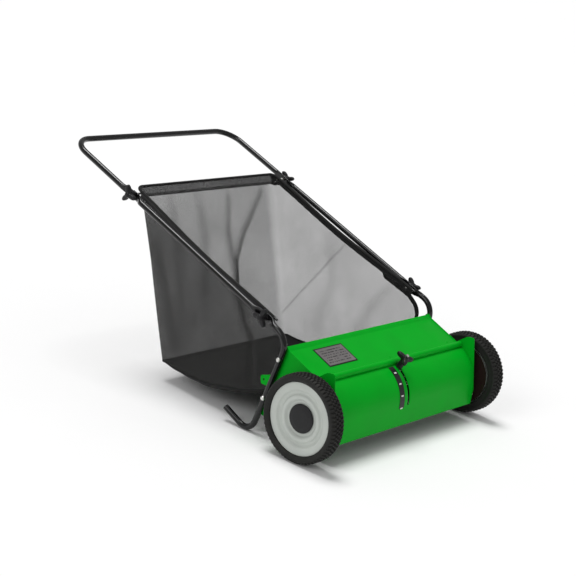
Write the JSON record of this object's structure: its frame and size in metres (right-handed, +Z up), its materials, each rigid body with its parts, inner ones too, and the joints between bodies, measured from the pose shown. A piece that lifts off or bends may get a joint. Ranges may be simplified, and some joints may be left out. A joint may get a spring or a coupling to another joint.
{
  "type": "push lawn sweeper",
  "caption": "Push lawn sweeper: green steel brush housing on two geared wheels, folding tube handle, and a see-through mesh hopper bag hung between the handle tubes.",
  "frame": {"origin": "on the floor, under the middle of the machine's bounding box, while it stands parked on its wheels and the feet of its handle tubes", "axes": "+Z up, front (brush housing) towards -Y, handle towards +Y, wheel axle along X"},
  "size_m": [0.816, 1.1398, 0.6189],
  "materials": {
    "green_paint": "satin green powder coat",
    "black_paint": "gloss black paint",
    "black_plastic": "satin moulding",
    "white_plastic": "satin moulding",
    "rubber": "matt rubber",
    "zinc": "zinc plated",
    "grey_plastic": "moulded",
    "brown_plastic": "moulded",
    "label": "printed foil",
    "mesh_cloth": "open woven mesh",
    "black_cloth": "coated woven cloth",
    "bristle": "bristle rows"
  },
  "bodies": {
    "housing": {"top_cover": "green_paint", "front_panel": "green_paint", "height_scale": "black_plastic", "data_plate": "label", "side_plate_left": "green_paint", "side_plate_right": "green_paint", "rear_tie_bar": "black_paint", "tube_bolt_upper_left": "zinc", "tube_bolt_lower_left": "zinc", "tube_bolt_upper_right": "zinc", "tube_bolt_lower_right": "zinc", "brush_bearing_left": "black_plastic", "brush_bearing_right": "black_plastic", "lower_tube_left": "black_paint", "middle_tube_left": "black_paint", "lower_tube_right": "black_paint", "middle_tube_right": "black_paint", "clamp_bolt_lower_left": "zinc", "clamp_bolt_lower_right": "zinc", "clamp_bolt_upper_left": "zinc", "clamp_bolt_upper_right": "zinc"},
    "swing_frame": {"swing_arm_left": "zinc", "stub_axle_left": "zinc", "dust_cover_left": "brown_plastic", "cover_screw_1_left": "zinc", "cover_screw_2_left": "zinc", "swing_arm_right": "zinc", "stub_axle_right": "zinc", "dust_cover_right": "brown_plastic", "cover_screw_1_right": "zinc", "cover_screw_2_right": "zinc", "swing_bar": "zinc"},
    "height_knob": {"height_knob": "black_plastic"},
    "wheel_left": {"wheel_rim_left": "white_plastic", "tyre_left": "rubber", "hub_cap_left": "black_plastic"},
    "pinion_left": {"pinion_left": "grey_plastic"},
    "wheel_right": {"wheel_rim_right": "white_plastic", "tyre_right": "rubber", "hub_cap_right": "black_plastic"},
    "pinion_right": {"pinion_right": "grey_plastic"},
    "brush": {"brush_shaft": "zinc", "brush_spider_left": "grey_plastic", "brush_spider_right": "grey_plastic", "brush_strip_1": "bristle", "brush_strip_2": "bristle", "brush_strip_3": "bristle", "brush_strip_4": "bristle", "ratchet_key_left": "zinc", "ratchet_key_right": "zinc"},
    "handle": {"upper_handle": "black_paint"},
    "clamp_knob_lower_left": {"clamp_knob_lower_left": "black_plastic"},
    "clamp_knob_lower_right": {"clamp_knob_lower_right": "black_plastic"},
    "clamp_knob_upper_left": {"clamp_knob_upper_left": "black_plastic"},
    "clamp_knob_upper_right": {"clamp_knob_upper_right": "black_plastic"},
    "bag": {"bag_frame": "black_paint", "bag_hem": "black_cloth", "bag_mesh": "mesh_cloth", "bag_floor": "black_cloth"}
  },
  "joints": [
    {"name": "height_swing", "type": "hinge", "parent": "housing", "child": "swing_frame", "pos_m": [0, -0.41457, 0.11313], "axis": [1, 0, 0], "range_deg": [0, 58]},
    {"name": "height_knob_turn", "type": "hinge", "parent": "swing_frame", "child": "height_knob", "pos_m": [0, -0.46319, 0.20268], "axis": [0, -0.4772, 0.8788], "range_deg": [0, 360]},
    {"name": "wheel_left_spin", "type": "hinge", "parent": "swing_frame", "child": "wheel_left", "pos_m": [0.382, -0.4499, 0.12], "axis": [1, 0, 0], "continuous": true},
    {"name": "wheel_right_spin", "type": "hinge", "parent": "swing_frame", "child": "wheel_right", "pos_m": [-0.382, -0.4499, 0.12], "axis": [1, 0, 0], "continuous": true},
    {"name": "pinion_left_spin", "type": "hinge", "parent": "swing_frame", "child": "pinion_left", "pos_m": [0.365, -0.41457, 0.11313], "axis": [1, 0, 0], "continuous": true},
    {"name": "pinion_right_spin", "type": "hinge", "parent": "swing_frame", "child": "pinion_right", "pos_m": [-0.365, -0.41457, 0.11313], "axis": [1, 0, 0], "continuous": true},
    {"name": "brush_spin", "type": "hinge", "parent": "housing", "child": "brush", "pos_m": [0, -0.41457, 0.11313], "axis": [1, 0, 0], "continuous": true},
    {"name": "handle_fold", "type": "hinge", "parent": "housing", "child": "handle", "pos_m": [0, 0.29945, 0.51581], "axis": [1, 0, 0], "range_deg": [0, 125]},
    {"name": "clamp_knob_lower_left_turn", "type": "hinge", "parent": "housing", "child": "clamp_knob_lower_left", "pos_m": [0.345, -0.23527, 0.32277], "axis": [1, 0, 0], "range_deg": [0, 360]},
    {"name": "clamp_knob_lower_right_turn", "type": "hinge", "parent": "housing", "child": "clamp_knob_lower_right", "pos_m": [-0.345, -0.23527, 0.32277], "axis": [1, 0, 0], "range_deg": [-360, 0]},
    {"name": "clamp_knob_upper_left_turn", "type": "hinge", "parent": "housing", "child": "clamp_knob_upper_left", "pos_m": [0.345, 0.29945, 0.51581], "axis": [1, 0, 0], "range_deg": [0, 360]},
    {"name": "clamp_knob_upper_right_turn", "type": "hinge", "parent": "housing", "child": "clamp_knob_upper_right", "pos_m": [-0.345, 0.29945, 0.51581], "axis": [1, 0, 0], "range_deg": [-360, 0]},
    {"name": "bag_lift", "type": "slide", "parent": "housing", "child": "bag", "axis": [0, 0, 1], "range_m": [0, 0.12]}
  ],
  "couplings": [
    {"joint": "pinion_left_spin", "follows": "wheel_left_spin", "ratio": 3},
    {"joint": "pinion_right_spin", "follows": "wheel_right_spin", "ratio": 3},
    {"joint": "brush_spin", "follows": "wheel_left_spin", "ratio": 3}
  ]
}
